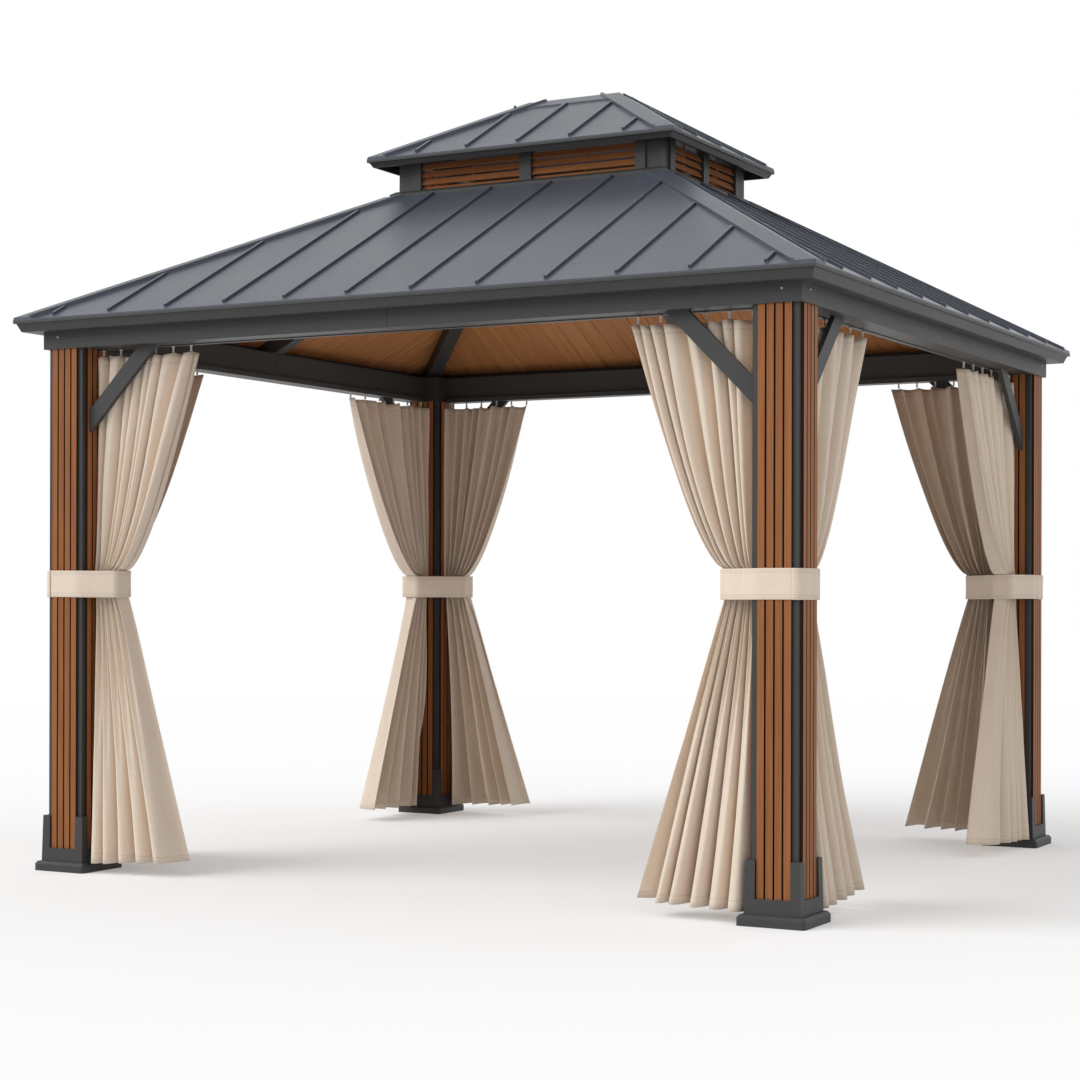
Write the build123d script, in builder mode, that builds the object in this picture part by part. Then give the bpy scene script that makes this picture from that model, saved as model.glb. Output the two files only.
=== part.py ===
import math
import os

from build123d import *

# Metal gazebo: four slatted posts, a ring beam, a two-tier hipped metal roof with a louvred
# cupola, a boarded ceiling, knee braces, and eight tied-back curtains.
# Units are millimetres. The origin is at floor level in the centre of the footprint.
# X runs along the wide front, Y runs front to back, Z is up.

# Plan and heights
post_span_x = 3020.0
post_span_y = 2715.0
beam_bottom = 2066.0
beam_top = 2187.0
eave_overhang = 183.0
eave_top = 2180.0
ring_half_x = 613.0
ring_half_y = 420.0
ring_top = 2762.0

# Posts
tube_side = 20.0
post_half = 82.0
recess_depth = 10.0
slat_width = 26.0
slat_depth = 20.0
slat_pitch = 32.0
slat_count = 4
slat_face = post_half - recess_depth + slat_depth

# Post feet
tray_half = 124.0
tray_height = 37.0
tray_bevel = 10.0
tray_corner = 14.0
skirt_half = 102.0
skirt_taper = 1.3
skirt_top = 218.0
notch_bottom = 90.0
notch_half = 64.0

# Ring beam and curtain rails, measured outward from the post centre line
beam_outer = 100.0
beam_inner = 6.0
upstand = 12.0
rail_depth = 22.0
rail_bottom = 2062.0
rail_top = 2082.0
hook_diameter = 7.0
hook_count = 6
hook_inset = 21.0
hook_seat = 2.0
butt_gap = 0.3
mitre_run = 100.0
beam_joint = 2.0

# Knee braces
brace_leg = 330.0
brace_width = 62.0
brace_outer = 50.0
brace_inner = 30.0

# Roof sheets, boards and rafters
sheet_drop = 5.7
board_drop = 13.5
rafter_drop = 82.0
rafter_width = 64.0
rafter_lean = 0.75
gutter_lip = 10.0
gutter_step = 10.0
gutter_drip = 2.0
gutter_in = 24.0
soffit = 2132.0
seam_width = 12.0
seam_height = 10.0
seam_start = 25.0
front_seam_pitch = 274.0
front_seam_count = 12
side_seam_pitch = 276.0
side_seam_count = 10
cap_half = 64.0
cap_height = 7.0
cap_edge = 9.0
cap_edge_height = 15.0
cap_setback = 2.0
seam_clearance = 1.0

# Curb and flashing under the cupola
curb_wall = 45.0
curb_bottom = 2675.0
flashing_width = 32.0
flashing_height = 9.0

# Cupola
sill_top = 2774.0
cupola_soffit = 2902.0
corner_post = 76.0
corner_recess = 10.0
corner_tube = 44.0
mullion = 52.0
wall_depth = 34.0
louvre_count = 4
louvre_board = 29.0
louvre_thickness = 5.0
louvre_tilt = 30.0
louvre_stay = 7.0
stay_setback = 11.0
cupola_overhang = 87.0
cupola_eave_top = 2904.0
ridge_half = 215.0
ridge_top = 3181.0
cupola_gutter_lip = 9.0
cupola_gutter_step = 8.0
cupola_gutter_drip = 1.0
cupola_gutter_in = 20.0
cupola_gutter_back = 8.0
cupola_gutter_bottom = 2870.0
upper_seam_pitch = 237.0
upper_front_seam_count = 5
upper_side_seam_count = 3

# Curtains and their tie bands: widths along the wall, faces outward from the post centre line
curtain_top = 2037.0
curtain_hem_near = 40.0
curtain_hem_far = 58.0
curtain_gap = 5.0
front_curtain_top_width = 472.0
side_curtain_top_width = 683.0
curtain_top_face = 21.0
curtain_top_depth = 66.0
curtain_belly_height = 1560.0
curtain_belly_share = 0.57
curtain_tied_width = 120.0
curtain_tied_face = 39.0
curtain_tied_depth = 88.0
curtain_hem_start = 16.0
front_curtain_hem_width = 416.0
side_curtain_hem_width = 495.0
curtain_hem_face = 118.0
curtain_hem_depth = 163.0
band_bottom = 1081.0
band_top = 1190.0
band_wall = 5.0
band_slack = 2.0

# Each hip runs straight in plan through the corner of the wall that carries its roof tier
beam_half_x = post_span_x / 2 + beam_outer
beam_half_y = post_span_y / 2 + beam_outer
lower_hip = (beam_half_y - ring_half_y) / (beam_half_x - ring_half_x)
upper_hip = ring_half_y / (ring_half_x - ridge_half)
cupola_eave_x = ring_half_x + cupola_overhang
eave_half_x = post_span_x / 2 + eave_overhang
eave_half_y = beam_half_y + (eave_half_x - beam_half_x) * lower_hip
cupola_eave_y = ring_half_y + cupola_overhang * upper_hip
ridge_joint = 0.15

# How far cutting outlines run past the eave, and the least width that one may have
overrun = 0.2
sliver = 0.01

sides = {"front": (0, -1), "back": (0, 1), "right": (1, 0), "left": (-1, 0)}
corners = {
    "front_left": (-1, -1),
    "front_right": (1, -1),
    "back_right": (1, 1),
    "back_left": (-1, 1),
}

os.makedirs("parts", exist_ok=True)


def profile_plane(side):
    # Sketch plane whose first axis points outward from the centre and whose second axis is up.
    ox, oy = sides[side]
    outward = Vector(ox, oy, 0)
    return Plane(origin=(0, 0, 0), x_dir=outward, z_dir=outward.cross(Vector(0, 0, 1)))


def across(side, pair):
    # The half size met when walking outward on this side.
    return pair[0] if sides[side][0] else pair[1]


def along(side, pair):
    # The half size that runs along the wall on this side.
    return pair[1] if sides[side][0] else pair[0]


def top_width(side):
    # Width of a tied curtain under the rail of this side.
    return side_curtain_top_width if sides[side][0] else front_curtain_top_width


def plan_point(side, run, out):
    # World plan point from a distance along the wall and a distance outward.
    ox, oy = sides[side]
    return (ox * out - oy * run, oy * out + ox * run)


def wedge(side, outer, inner, gap):
    # Plan outline of one side between the two hip lines, pulled in by half a joint gap.
    far = [o + overrun * (o - i) for o, i in zip(outer, inner)]
    low, high = along(side, far) - gap, along(side, inner) - gap
    out_far, out_near = across(side, far), across(side, inner)
    return [
        plan_point(side, -low, out_far),
        plan_point(side, low, out_far),
        plan_point(side, max(high, sliver), out_near),
        plan_point(side, -max(high, sliver), out_near),
    ]


def sided_solid(side, profile, outer, inner, gap=butt_gap):
    # A profile run along one side of the roof and mitred at both hips.
    with BuildPart() as run:
        with BuildSketch(profile_plane(side)):
            Polygon(*profile, align=None)
        extrude(amount=2 * beam_half_x, both=True)
        with BuildSketch(Plane.XY):
            Polygon(*wedge(side, outer, inner, gap), align=None)
        extrude(amount=2 * ridge_top, mode=Mode.INTERSECT)
    return run.part


class Slope:
    # One roof tier: eave and top outlines with the height of the upper face of its sheets.
    def __init__(self, eave, top, eave_z, top_z):
        self.eave = eave
        self.top = top
        self.eave_z = eave_z
        self.top_z = top_z

    def rise(self, side):
        run = across(side, self.eave) - across(side, self.top)
        return (self.top_z - self.eave_z) / run

    def height(self, side, out, drop=0.0):
        return self.eave_z + (across(side, self.eave) - out) * self.rise(side) - drop

    def slab(self, side, high, low, out_max=None, out_min=None):
        # Sheet between two drops under the upper face.
        a = across(side, self.eave) if out_max is None else out_max
        b = across(side, self.top) if out_min is None else out_min
        return [
            (a, self.height(side, a, low)),
            (a, self.height(side, a, high)),
            (b, self.height(side, b, high)),
            (b, self.height(side, b, low)),
        ]

    def hip_slope(self, side):
        # Outward travel of the hip per unit of travel along the wall.
        run = across(side, self.eave) - across(side, self.top)
        return run / (along(side, self.eave) - along(side, self.top))

    def hip_out(self, side, run):
        # Outward distance at which the hip crosses this distance along the wall.
        return across(side, self.eave) - (along(side, self.eave) - abs(run)) * self.hip_slope(side)

    def slope_plane(self, side, run):
        # Plane on the upper face: first axis along the wall, second axis up the slope.
        ox, oy = sides[side]
        angle = math.atan(self.rise(side))
        px, py = plan_point(side, run, across(side, self.eave))
        normal = Vector(
            ox * math.sin(angle), oy * math.sin(angle), math.cos(angle)
        )
        return Plane(origin=(px, py, self.eave_z), x_dir=(-oy, ox, 0), z_dir=normal)


lower = Slope((eave_half_x, eave_half_y), (ring_half_x, ring_half_y), eave_top, ring_top)
upper = Slope(
    (cupola_eave_x, cupola_eave_y), (ridge_half, ridge_joint), cupola_eave_top, ridge_top
)


def seamed_sheet(tier, side, seams, top_margin):
    # One roof slope: a thin sheet with upright seams that stop short of the eave and of the caps.
    cosine = math.cos(math.atan(tier.rise(side)))
    with BuildPart() as slope:
        add(sided_solid(side, tier.slab(side, 0, sheet_drop), tier.eave, tier.top))
        for run in seams:
            hip_k = tier.hip_slope(side)
            cap_reach = cap_half * math.sqrt(1 + hip_k * hip_k)
            cap_reach += seam_width / 2 * hip_k + seam_clearance
            stop = max(tier.hip_out(side, run) + cap_reach, across(side, tier.top) + top_margin)
            length = (across(side, tier.eave) - seam_start - stop) / cosine
            middle = seam_start / cosine + length / 2
            with BuildSketch(tier.slope_plane(side, run)):
                with Locations((0, middle)):
                    Rectangle(seam_width, length)
            extrude(amount=seam_height)
            extrude_low = sheet_drop * cosine / 2
            with BuildSketch(tier.slope_plane(side, run)):
                with Locations((0, middle)):
                    Rectangle(seam_width, length)
            extrude(amount=-extrude_low)
    return slope.part


def centred(count, pitch):
    return [(i - (count - 1) / 2) * pitch for i in range(count)]


def save(built, node):
    built.part.label = node
    export_step(built.part, f"parts/{node}.step")


def corner_point(corner, a, b):
    # World plan point from distances inward of a post centre, along X and along Y.
    sx, sy = corners[corner]
    return (sx * (post_span_x / 2 - a), sy * (post_span_y / 2 - b))


# Posts: a dark core with a tube at each corner, four boards on each face
for corner in corners:
    cx, cy = corner_point(corner, 0, 0)
    sx, sy = corners[corner]
    with BuildPart() as post_frame:
        with BuildSketch(Plane.XY.offset(tray_height)):
            with Locations((cx, cy)):
                Rectangle(2 * (post_half - recess_depth), 2 * (post_half - recess_depth))
                with GridLocations(2 * post_half - tube_side, 2 * post_half - tube_side, 2, 2):
                    Rectangle(tube_side, tube_side)
        extrude(amount=beam_bottom - tray_height)
        stub = post_half + beam_inner
        stub_x = cx - sx * (post_half - beam_inner) / 2
        stub_y = cy - sy * (post_half - beam_inner) / 2
        with BuildSketch(Plane.XY.offset(beam_bottom)):
            with Locations((stub_x, stub_y)):
                Rectangle(stub, stub)
        extrude(amount=beam_top - beam_bottom)
    save(post_frame, f"post_frame_{corner}")

    with BuildPart() as post_slats:
        reach = 2 * (slat_face - slat_depth / 2)
        with BuildSketch(Plane.XY.offset(notch_bottom)):
            with Locations((cx, cy)):
                with GridLocations(slat_pitch, reach, slat_count, 2):
                    Rectangle(slat_width, slat_depth)
                with GridLocations(reach, slat_pitch, 2, slat_count):
                    Rectangle(slat_depth, slat_width)
        extrude(amount=beam_bottom - notch_bottom)
    save(post_slats, f"post_slats_{corner}")

    with BuildPart() as post_base:
        with BuildSketch():
            with Locations((cx, cy)):
                RectangleRounded(2 * tray_half, 2 * tray_half, tray_corner)
        extrude(amount=tray_height)
        chamfer(post_base.faces().sort_by(Axis.Z)[-1].edges(), tray_bevel)
        with BuildSketch(Plane.XY.offset(tray_height)):
            with Locations((cx, cy)):
                Rectangle(2 * skirt_half, 2 * skirt_half)
        extrude(amount=skirt_top - tray_height, taper=skirt_taper)
        with BuildSketch(Plane.XY.offset(tray_height)):
            with Locations((cx, cy)):
                Rectangle(2 * post_half, 2 * post_half)
        extrude(amount=skirt_top, mode=Mode.SUBTRACT)
        with BuildSketch(Plane.XY.offset(notch_bottom)):
            with Locations((cx, cy)):
                Rectangle(2 * notch_half, 2 * tray_half)
                Rectangle(2 * tray_half, 2 * notch_half)
        extrude(amount=skirt_top, mode=Mode.SUBTRACT)
    save(post_base, f"post_base_{corner}")

# Ring beam: four box beams with a thin upstand that carries the roof edge
with BuildPart() as ring_beam:
    for side in sides:
        centre = across(side, (post_span_x / 2, post_span_y / 2))
        out, inn = centre + beam_outer, centre + beam_inner
        web = out - upstand
        low = sheet_drop + board_drop
        shape = [
            (out, beam_bottom),
            (out, lower.height(side, out, low)),
            (web, lower.height(side, web, low)),
            (web, beam_top),
            (inn, beam_top),
            (inn, beam_bottom),
        ]
        corner_in = (beam_half_x - mitre_run, beam_half_y - mitre_run)
        add(sided_solid(side, shape, (beam_half_x, beam_half_y), corner_in))
    # Each beam is two lengths that meet at the middle of its wall
    Box(beam_joint, 4 * beam_half_y, 4 * beam_top, mode=Mode.SUBTRACT)
    Box(4 * beam_half_x, beam_joint, 4 * beam_top, mode=Mode.SUBTRACT)
save(ring_beam, "ring_beam")

# Curtain rails: a slim track on the inner side of each beam with the hooks that carry the cloth
with BuildPart() as curtain_rails:
    for side in sides:
        centre = across(side, (post_span_x / 2, post_span_y / 2))
        half = along(side, (post_span_x / 2, post_span_y / 2)) - slat_face
        mid = centre + beam_inner - rail_depth / 2
        px, py = plan_point(side, 0, mid)
        size = (2 * half, rail_depth) if side in ("front", "back") else (rail_depth, 2 * half)
        with BuildSketch(Plane.XY.offset(rail_bottom)):
            with Locations((px, py)):
                Rectangle(*size)
        extrude(amount=rail_top - rail_bottom)
        with BuildSketch(Plane.XY.offset(curtain_top)):
            for end in (-1, 1):
                for step in range(hook_count):
                    spread = (top_width(side) - 2 * hook_inset) / (hook_count - 1)
                    reach = half - curtain_gap - hook_inset - step * spread
                    with Locations(plan_point(side, end * reach, mid)):
                        RegularPolygon(hook_diameter / 2, 6)
        extrude(amount=rail_bottom - curtain_top + hook_seat)
save(curtain_rails, "curtain_rails")

# Knee braces: a flat bar at 45 degrees on both room sides of each post
with BuildPart() as knee_braces:
    for side in sides:
        centre = across(side, (post_span_x / 2, post_span_y / 2))
        half = along(side, (post_span_x / 2, post_span_y / 2)) - slat_face
        ox, oy = sides[side]
        depth_mid = centre + (brace_outer + brace_inner) / 2
        width = brace_width * math.sqrt(2)
        for end in (-1, 1):
            foot = half * end
            px, py = plan_point(side, 0, centre + brace_inner)
            face = Plane(origin=(px, py, 0), x_dir=(-oy, ox, 0), z_dir=(ox, oy, 0))
            with BuildSketch(face):
                Polygon(
                    (foot, beam_bottom - brace_leg),
                    (foot, beam_bottom - brace_leg + width),
                    (foot - end * (brace_leg - width), beam_bottom),
                    (foot - end * brace_leg, beam_bottom),
                    align=None,
                )
            extrude(amount=brace_outer - brace_inner)
save(knee_braces, "knee_braces")

# Lower eave gutter: lip, step, slanted face and flat soffit back to the beam
with BuildPart() as eave_gutter:
    for side in sides:
        eave = across(side, lower.eave)
        wall = across(side, (post_span_x / 2, post_span_y / 2)) + beam_outer
        top_z = eave_top - sheet_drop
        shape = [
            (eave, top_z),
            (eave, top_z - gutter_lip),
            (eave - gutter_step, top_z - gutter_lip - gutter_drip),
            (eave - gutter_in, soffit),
            (wall, soffit),
            (wall, lower.height(side, wall, sheet_drop)),
        ]
        add(sided_solid(side, shape, lower.eave, lower.top))
save(eave_gutter, "eave_gutter")

# Lower roof slopes with standing seams
seam_runs = {
    "front": centred(front_seam_count, front_seam_pitch),
    "back": centred(front_seam_count, front_seam_pitch),
    "left": centred(side_seam_count, side_seam_pitch),
    "right": centred(side_seam_count, side_seam_pitch),
}
for side in sides:
    with BuildPart() as roof_slope:
        add(seamed_sheet(lower, side, seam_runs[side], flashing_width + seam_clearance))
    save(roof_slope, f"roof_slope_{side}")

# Boarded ceiling under the sheets
with BuildPart() as ceiling_boards:
    for side in sides:
        wall = across(side, (post_span_x / 2, post_span_y / 2)) + beam_outer
        boards = lower.slab(side, sheet_drop, sheet_drop + board_drop, out_max=wall)
        add(sided_solid(side, boards, lower.eave, lower.top))
save(ceiling_boards, "ceiling_boards")

# Rafters: one up the middle of each slope and one under each hip
with BuildPart() as rafters:
    for side in sides:
        ox, oy = sides[side]
        wall = across(side, (post_span_x / 2, post_span_y / 2)) + beam_outer - upstand
        ring = across(side, lower.top)
        high = sheet_drop + board_drop
        low = high + rafter_drop
        bend = ring + (lower.height(side, ring, low) - beam_top) / lower.rise(side)
        with BuildSketch(profile_plane(side)):
            Polygon(
                (ring, lower.height(side, ring, high)),
                (ring, lower.height(side, ring, low)),
                (bend, beam_top),
                (wall, beam_top),
                (wall, lower.height(side, wall, high)),
                align=None,
            )
        extrude(amount=rafter_width / 2, both=True)
    for corner in corners:
        sx, sy = corners[corner]
        dx, dy = eave_half_x - ring_half_x, eave_half_y - ring_half_y
        hip_length = math.hypot(dx, dy)
        outward = Vector(sx * dx / hip_length, sy * dy / hip_length, 0)
        start = (sx * ring_half_x, sy * ring_half_y, 0)
        hip_plane = Plane(origin=start, x_dir=outward, z_dir=outward.cross(Vector(0, 0, 1)))
        fall = (ring_top - eave_top) / hip_length
        side_fall = rafter_width / 2 * rafter_lean * lower.rise("right")
        high = ring_top - sheet_drop - board_drop - side_fall
        low = high - rafter_drop + side_fall
        seat = post_span_x / 2 + (beam_inner + beam_outer) / 2
        end = hip_length * (seat - ring_half_x) / dx
        bend = (low - beam_top) / fall
        near = rafter_width / 2
        with BuildSketch(hip_plane):
            Polygon(
                (near, high - near * fall),
                (near, low - near * fall),
                (bend, beam_top),
                (end, beam_top),
                (end, high - end * fall),
                align=None,
            )
        extrude(amount=rafter_width / 2, both=True)
save(rafters, "rafters")


def hip_strip(tier, side, end, near, far):
    # Plan strip on one slope at one end of the wall, between two distances from the hip.
    lean = math.sqrt(1 + 1 / tier.hip_slope(side) ** 2)
    near, far = near * lean, far * lean
    eave_run, top_run = along(side, tier.eave), along(side, tier.top)
    eave_out, top_out = across(side, tier.eave), across(side, tier.top)
    extra_run, extra_out = overrun / 2 * (eave_run - top_run), overrun / 2 * (eave_out - top_out)
    low = (eave_run + extra_run, eave_out + extra_out)
    high = (top_run - extra_run, top_out - extra_out)
    return [
        plan_point(side, end * (low[0] - near), low[1]),
        plan_point(side, end * (high[0] - near), high[1]),
        plan_point(side, end * (high[0] - far), high[1]),
        plan_point(side, end * (low[0] - far), low[1]),
    ]


def cap_strip(tier, side, end, out_min, height, near, far):
    # A strip of sheet that lies on one slope beside the hip.
    eave = across(side, tier.eave) - cap_setback
    with BuildPart() as strip:
        with BuildSketch(profile_plane(side)):
            Polygon(*tier.slab(side, -height, 0, out_max=eave, out_min=out_min), align=None)
        extrude(amount=2 * beam_half_x, both=True)
        with BuildSketch(Plane.XY):
            Polygon(*hip_strip(tier, side, end, near, far), align=None)
        extrude(amount=2 * ridge_top, mode=Mode.INTERSECT)
        with BuildSketch(Plane.XY):
            Polygon(*wedge(side, tier.eave, tier.top, 0.0), align=None)
        extrude(amount=2 * ridge_top, mode=Mode.INTERSECT)
    return strip.part


def cap_leaf(tier, side, end, out_min):
    # Half of a folded hip cap: the flat leaf and its upturned edge.
    with BuildPart() as leaf:
        add(cap_strip(tier, side, end, out_min, cap_height, 0.0, cap_half))
        add(cap_strip(tier, side, end, out_min, cap_edge_height, cap_half - cap_edge, cap_half))
    return leaf.part


with BuildPart() as hip_caps:
    for side in sides:
        for end in (-1, 1):
            add(cap_leaf(lower, side, end, across(side, lower.top) + flashing_width + cap_setback))
save(hip_caps, "hip_caps")

# Curb round the roof opening with the flashing that laps the slopes
with BuildPart() as cupola_curb:
    for side in sides:
        ring = across(side, lower.top)
        lap = ring + flashing_width
        shape = [
            (ring, curb_bottom),
            (ring, ring_top),
            (lap, lower.height(side, lap)),
            (lap, lower.height(side, lap, -flashing_height)),
            (ring, sill_top),
            (ring - curb_wall, sill_top),
            (ring - curb_wall, curb_bottom),
        ]
        inner = (ring_half_x - mitre_run, ring_half_y - mitre_run)
        add(sided_solid(side, shape, lower.top, inner))
save(cupola_curb, "cupola_curb")

# Cupola frame: corner posts, side tubes, a mullion on each wall and a top plate
with BuildPart() as cupola_frame:
    for corner in corners:
        sx, sy = corners[corner]
        core = corner_post - corner_recess
        px = sx * (ring_half_x - corner_recess - core / 2)
        py = sy * (ring_half_y - corner_recess - core / 2)
        with BuildSketch(Plane.XY.offset(sill_top)):
            with Locations((px, py)):
                Rectangle(core, core)
        extrude(amount=cupola_soffit - sill_top)
    for side in sides:
        run = along(side, lower.top)
        out = across(side, lower.top) - wall_depth / 2
        turn = side in ("left", "right")
        posts = [(0.0, mullion)]
        posts += [(e * (run - corner_post - corner_tube / 2), corner_tube) for e in (-1, 1)]
        with BuildSketch(Plane.XY.offset(sill_top)):
            for at, size in posts:
                with Locations(plan_point(side, at, out)):
                    Rectangle(*((wall_depth, size) if turn else (size, wall_depth)))
        extrude(amount=cupola_soffit - sill_top)
        ring = across(side, lower.top)
        plate = [
            (ring, cupola_soffit),
            (ring, upper.height(side, ring, sheet_drop)),
            (ring - curb_wall, upper.height(side, ring - curb_wall, sheet_drop)),
            (ring - curb_wall, cupola_soffit),
        ]
        add(sided_solid(side, plate, lower.top, upper.top, 0.0))
save(cupola_frame, "cupola_frame")

# Louvres: tilted wood boards in two bays on each wall of the cupola
for side in sides:
    run = along(side, lower.top) - corner_post - corner_tube
    ox, oy = sides[side]
    with BuildPart() as louvres:
        zone = cupola_soffit - sill_top
        bay_middle = (run + mullion / 2) / 2
        bay = run - mullion / 2
        out = across(side, lower.top) - wall_depth / 2
        for step in range(louvre_count):
            z = sill_top + zone * step / louvre_count
            lean = math.radians(louvre_tilt)
            for end in (-1, 1):
                px, py = plan_point(side, end * bay_middle, out)
                normal = (ox * math.cos(lean), oy * math.cos(lean), math.sin(lean))
                board = Plane(origin=(px, py, z), x_dir=(-oy, ox, 0), z_dir=normal)
                with BuildSketch(board):
                    Rectangle(bay, louvre_board)
                extrude(amount=louvre_thickness / 2, both=True)
        # The lowest board is let into the sill
        with Locations((0, 0, sill_top - zone / 2)):
            Box(4 * ring_half_x, 4 * ring_half_y, zone, mode=Mode.SUBTRACT)
        # A thin upright stay behind the boards of each bay ties them together
        with BuildSketch(Plane.XY.offset(sill_top)):
            for end in (-1, 1):
                with Locations(plan_point(side, end * bay_middle, out - stay_setback)):
                    Rectangle(louvre_stay, louvre_stay)
        extrude(amount=zone)
    save(louvres, f"louvres_{side}")

# Upper eave gutter: its back stands below a soffit that is set higher
with BuildPart() as cupola_gutter:
    for side in sides:
        eave = across(side, upper.eave)
        wall = across(side, lower.top)
        top_z = cupola_eave_top - sheet_drop
        shape = [
            (eave, top_z),
            (eave, top_z - cupola_gutter_lip),
            (eave - cupola_gutter_step, top_z - cupola_gutter_lip - cupola_gutter_drip),
            (eave - cupola_gutter_in, cupola_gutter_bottom),
            (eave - cupola_gutter_in - cupola_gutter_back, cupola_gutter_bottom),
            (eave - cupola_gutter_in - cupola_gutter_back, cupola_soffit),
            (wall, cupola_soffit),
            (wall, upper.height(side, wall, sheet_drop)),
        ]
        add(sided_solid(side, shape, upper.eave, upper.top))
save(cupola_gutter, "cupola_gutter")

# Upper roof: four seamed slopes
upper_front_runs = centred(upper_front_seam_count, upper_seam_pitch)
upper_side_runs = centred(upper_side_seam_count, upper_seam_pitch)
with BuildPart() as cupola_roof:
    for side in sides:
        runs = upper_front_runs if side in ("front", "back") else upper_side_runs
        add(seamed_sheet(upper, side, runs, cap_half + seam_clearance))
save(cupola_roof, "cupola_roof")

# Ridge and hip caps of the upper roof
with BuildPart() as cupola_caps:
    for side in sides:
        for end in (-1, 1):
            add(cap_leaf(upper, side, end, 0.0))
    for side in ("front", "back"):
        add(
            sided_solid(
                side,
                upper.slab(side, -cap_height, 0, out_max=cap_half, out_min=0.0),
                upper.eave,
                upper.top,
                0.0,
            )
        )
save(cupola_caps, "cupola_caps")

# Curtains: one pair at each corner, pinched at the tie band and flared to the hem
near_edge = slat_face + curtain_gap
curtain_faces = [
    (curtain_top, curtain_top_face, curtain_top_depth),
    (band_top, curtain_tied_face, curtain_tied_depth),
    (band_bottom, curtain_tied_face, curtain_tied_depth),
    (curtain_hem_near, curtain_hem_face, curtain_hem_depth),
]
for corner in corners:
    first, second = corner.split("_")
    for wall, other in ((first, second), (second, first)):
        ox, oy = sides[wall]
        ax, ay = sides[other]
        px, py = corner_point(corner, 0, 0)
        inward = Vector(-ax, -ay, 0)
        outward = Vector(ox, oy, 0)
        up = Vector(0, 0, 1)
        hem_edge = slat_face + curtain_hem_start
        hem_width = side_curtain_hem_width if ox else front_curtain_hem_width
        belly = curtain_tied_width
        belly += curtain_belly_share * (top_width(wall) - curtain_tied_width)
        outline = [
            (near_edge, curtain_top),
            (near_edge + top_width(wall), curtain_top),
            (near_edge + belly, curtain_belly_height),
            (near_edge + curtain_tied_width, band_top),
            (near_edge + curtain_tied_width, band_bottom),
            (hem_edge + hem_width, curtain_hem_far),
            (hem_edge, curtain_hem_near),
            (near_edge, band_bottom),
        ]
        face_edge = [(face, z) for z, face, depth in curtain_faces]
        room_edge = [(face - depth, z) for z, face, depth in curtain_faces]
        reach = 2 * (near_edge + top_width(wall))
        with BuildPart() as curtain:
            with BuildSketch(Plane(origin=(px, py, 0), x_dir=inward, z_dir=inward.cross(up))):
                Polygon(*outline, align=None)
            extrude(amount=reach, both=True)
            with BuildSketch(Plane(origin=(px, py, 0), x_dir=outward, z_dir=outward.cross(up))):
                Polygon(*face_edge, *reversed(room_edge), align=None)
            extrude(amount=reach, both=True, mode=Mode.INTERSECT)
        save(curtain, f"curtain_{wall}_wall_{other}")

# Tie bands round each post and its two gathered curtains
for corner in corners:
    far = near_edge + curtain_tied_width
    near = -curtain_tied_face
    deep = curtain_tied_depth - curtain_tied_face
    nose = post_half + band_slack
    flat = slat_pitch * slat_count / 2
    outline = [
        (-flat, -slat_face),
        (flat, -slat_face),
        (far, near),
        (far, deep),
        (deep, far),
        (near, far),
        (-slat_face, flat),
        (-slat_face, -flat),
        (-nose, -nose),
    ]
    points = [corner_point(corner, a, b) for a, b in outline]
    with BuildPart() as tie_band:
        with BuildSketch(Plane.XY.offset(band_bottom)):
            with BuildLine():
                Polyline(*points, close=True)
            make_face()
            offset(amount=band_wall, kind=Kind.INTERSECTION)
            with BuildLine():
                Polyline(*points, close=True)
            make_face(mode=Mode.SUBTRACT)
        extrude(amount=band_top - band_bottom)
    save(tie_band, f"tie_band_{corner}")
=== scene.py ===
"""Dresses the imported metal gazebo: coated metal, timber, boarded ceiling, curtains and a studio stage."""

import math

import bmesh
import bpy
from bpy.props import FloatProperty, FloatVectorProperty, IntProperty, PointerProperty
from bpy.types import Operator, Panel, PropertyGroup
from mathutils import Matrix, Vector, noise

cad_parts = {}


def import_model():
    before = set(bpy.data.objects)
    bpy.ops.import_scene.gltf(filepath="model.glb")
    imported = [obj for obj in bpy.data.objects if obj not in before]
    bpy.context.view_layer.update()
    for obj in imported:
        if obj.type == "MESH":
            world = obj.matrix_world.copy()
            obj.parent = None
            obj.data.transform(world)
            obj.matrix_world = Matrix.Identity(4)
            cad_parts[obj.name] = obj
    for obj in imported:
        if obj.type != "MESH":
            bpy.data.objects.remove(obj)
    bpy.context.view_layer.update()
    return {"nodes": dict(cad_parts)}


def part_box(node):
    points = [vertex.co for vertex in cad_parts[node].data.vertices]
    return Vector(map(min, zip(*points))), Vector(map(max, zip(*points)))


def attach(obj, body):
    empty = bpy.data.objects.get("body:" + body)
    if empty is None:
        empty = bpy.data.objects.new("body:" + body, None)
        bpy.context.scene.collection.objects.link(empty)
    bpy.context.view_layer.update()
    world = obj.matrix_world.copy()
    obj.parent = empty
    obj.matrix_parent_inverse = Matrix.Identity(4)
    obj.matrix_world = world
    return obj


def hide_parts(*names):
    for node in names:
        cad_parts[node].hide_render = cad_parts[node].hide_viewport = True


bl_info = {
    "name": "Metal gazebo dressing",
    "version": (1, 0, 0),
    "blender": (4, 5, 0),
    "location": "3D View > Sidebar > Gazebo",
    "description": "Finishes, boards, curtains and a stage for a packed metal gazebo",
    "category": "Object",
}

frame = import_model()

SIDES = {
    "front": Vector((0, -1, 0)), "back": Vector((0, 1, 0)),
    "right": Vector((1, 0, 0)), "left": Vector((-1, 0, 0)),
}
CORNERS = ("front_left", "front_right", "back_right", "back_left")
# The band's wall, and the faces of the gathered cloth inside it, inward of the post centre line
BAND_WALL = 0.005
BAND_NEAR, BAND_DEEP = -0.039, 0.049
# Post slats: their pitch, half their width and their depth
SLAT_PITCH, SLAT_HALF, SLAT_DEPTH = 0.032, 0.013, 0.020
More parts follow.
